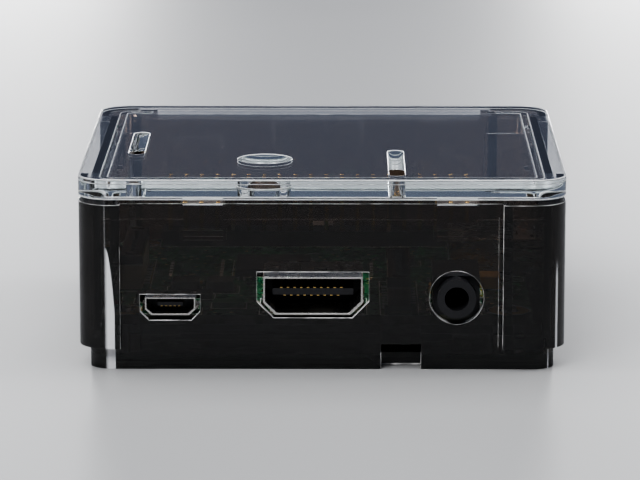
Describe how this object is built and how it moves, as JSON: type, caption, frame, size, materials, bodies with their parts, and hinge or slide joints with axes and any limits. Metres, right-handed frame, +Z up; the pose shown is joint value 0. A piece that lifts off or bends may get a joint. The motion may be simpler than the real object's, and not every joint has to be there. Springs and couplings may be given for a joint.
{
  "type": "single board computer",
  "caption": "Small single board computer in a snap-together case: smoke-tinted base with port openings, clear lid with camera hole and cable slots.",
  "frame": {"origin": "centre of the case's underside, on the table", "axes": "+Z up, +X to the right along the port side, -Y towards the port side (power, HDMI and A/V openings)"},
  "size_m": [0.073, 0.065, 0.0292],
  "materials": {
    "smoke_plastic": "smoke-tinted moulded polycarbonate, polished",
    "clear_plastic": "clear moulded polycarbonate, polished",
    "board_laminate": "glass-fibre laminate with green solder mask",
    "chip_moulding": "epoxy moulding, fine matt",
    "socket_metal": "nickel-plated folded sheet",
    "black_moulding": "glass-filled moulding",
    "white_moulding": "white moulding",
    "contact_plating": "thin gold plating",
    "tinned_contacts": "dull tin plating",
    "connector_moulding": "cream moulding",
    "latch_moulding": "dark brown moulding",
    "ferrite": "moulded ferrite",
    "fuse_body": "laminate fuse",
    "crystal_can": "plated lid on ceramic",
    "red_led": "tinted clear resin",
    "green_led": "tinted clear resin",
    "tantalum": "yellow moulding",
    "capacitor_ceramic": "ceramic with tinned ends",
    "resistor_body": "glazed film with tinned ends",
    "card_plastic": "fine matt moulding"
  },
  "bodies": {
    "case": {"case_base": "smoke_plastic", "circuit_board": "board_laminate", "processor_package": "chip_moulding", "memory_package": "chip_moulding", "power_socket_shell": "socket_metal", "power_socket_tongue": "black_moulding", "power_socket_contacts": "contact_plating", "hdmi_socket_shell": "socket_metal", "hdmi_socket_tongue": "black_moulding", "hdmi_socket_contacts": "contact_plating", "av_jack_body": "black_moulding", "av_jack_contacts": "tinned_contacts", "usb_socket_shell": "socket_metal", "usb_socket_tongue": "white_moulding", "usb_socket_contacts": "contact_plating", "pin_header_block": "black_moulding", "pin_header_pins": "contact_plating", "display_connector": "connector_moulding", "display_contacts": "tinned_contacts", "camera_connector": "connector_moulding", "camera_contacts": "tinned_contacts", "card_socket_frame": "black_moulding", "card_socket_cover": "socket_metal", "card_socket_contacts": "contact_plating", "power_inductors": "ferrite", "power_regulator": "chip_moulding", "input_fuse": "fuse_body", "surge_diode": "chip_moulding", "clock_crystal": "crystal_can", "power_led": "red_led", "activity_led": "green_led", "bulk_capacitor": "tantalum", "audio_capacitors": "tantalum", "hdmi_protection_chips": "chip_moulding", "usb_power_switch": "chip_moulding", "chip_capacitors": "capacitor_ceramic", "chip_resistors": "resistor_body"},
    "lid": {"case_lid": "clear_plastic"},
    "card": {"memory_card": "card_plastic"},
    "display_latch_bar": {"display_latch": "latch_moulding"},
    "camera_latch_bar": {"camera_latch": "latch_moulding"}
  },
  "joints": [
    {"name": "lid_lift", "type": "slide", "parent": "case", "child": "lid", "axis": [0, 0, 1], "range_m": [0, 0.035]},
    {"name": "card_slide", "type": "slide", "parent": "case", "child": "card", "axis": [-1, 0, 0], "range_m": [0, 0.018]},
    {"name": "display_latch_lift", "type": "slide", "parent": "case", "child": "display_latch_bar", "axis": [0, 0, 1], "range_m": [0, 0.0012]},
    {"name": "camera_latch_lift", "type": "slide", "parent": "case", "child": "camera_latch_bar", "axis": [0, 0, 1], "range_m": [0, 0.0012]}
  ]
}
